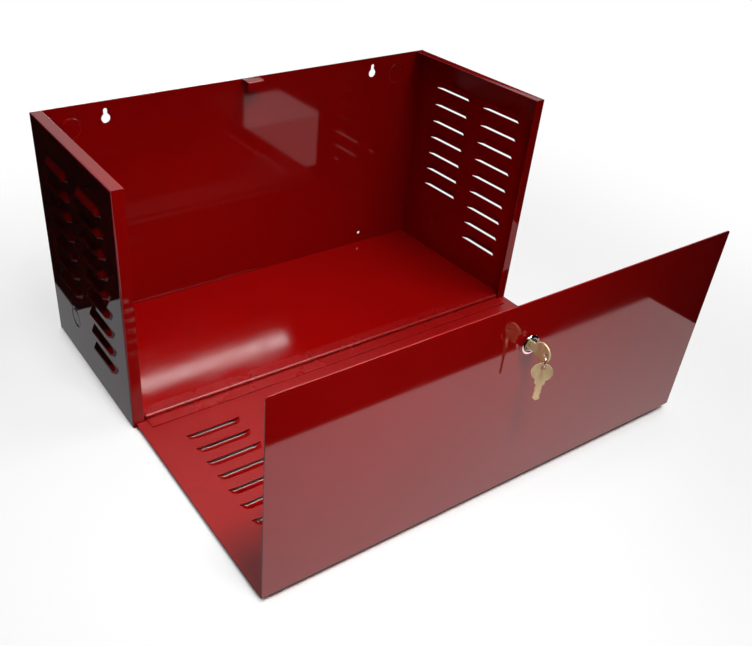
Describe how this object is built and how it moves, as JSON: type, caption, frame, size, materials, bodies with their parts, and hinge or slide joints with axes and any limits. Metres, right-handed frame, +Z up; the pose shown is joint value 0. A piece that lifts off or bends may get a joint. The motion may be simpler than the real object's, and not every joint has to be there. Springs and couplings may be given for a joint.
{
  "type": "alarm equipment cabinet",
  "caption": "Louvred red sheet-steel wall cabinet with an L-shaped cover on a continuous hinge, a strike and a keyed cam lock, shown open.",
  "frame": {"origin": "on the surface the cabinet stands on, under the middle of the open cabinet's box", "axes": "+X along the hinge to the cabinet's right, +Y towards the wall face, +Z up"},
  "size_m": [0.62, 0.5867, 0.31],
  "materials": {
    "red_enamel": "gloss red powder coat with a faint orange peel",
    "zinc_plate": "bright zinc plating",
    "chrome_plate": "polished chrome",
    "ring_wire": "bright steel wire",
    "key_brass": "nickel-toned brass, lightly worn"
  },
  "bodies": {
    "cabinet": {"back_panel": "red_enamel", "left_side": "red_enamel", "right_side": "red_enamel", "floor_pan": "red_enamel", "strike": "red_enamel", "hinge_leaf_body": "red_enamel", "hinge_pin": "zinc_plate", "knockout_side_left": "red_enamel", "knockout_side_right": "red_enamel", "knockout_back_left": "red_enamel", "knockout_back_right": "red_enamel"},
    "cover": {"cover": "red_enamel", "hinge_leaf_cover": "red_enamel", "lock_housing": "chrome_plate", "lock_washer": "zinc_plate", "lock_nut": "zinc_plate"},
    "lock_core": {"lock_plug": "chrome_plate", "lock_cam": "zinc_plate", "cam_washer": "zinc_plate", "cam_screw": "zinc_plate"},
    "key": {"key": "key_brass"},
    "key_ring": {"key_ring": "ring_wire"},
    "spare_key": {"spare_key": "key_brass"}
  },
  "joints": [
    {"name": "cover_hinge", "type": "hinge", "parent": "cabinet", "child": "cover", "pos_m": [0, 0.04062, 0.0098], "axis": [-1, 0, 0], "range_deg": [0, 90]},
    {"name": "lock_turn", "type": "hinge", "parent": "cover", "child": "lock_core", "pos_m": [0, -0.26158, 0.2045], "axis": [0, -1, 0], "range_deg": [0, 90]},
    {"name": "key_pull", "type": "slide", "parent": "lock_core", "child": "key", "axis": [0, -1, 0], "range_m": [0, 0.022]},
    {"name": "ring_swing", "type": "hinge", "parent": "key", "child": "key_ring", "pos_m": [0, -0.28682, 0.2045], "axis": [1, 0, 0], "range_deg": [-80, 0]},
    {"name": "spare_swing", "type": "hinge", "parent": "key_ring", "child": "spare_key", "pos_m": [0, -0.28682, 0.1895], "axis": [0.7071, 0.7071, 0], "range_deg": [-15, 15]}
  ]
}
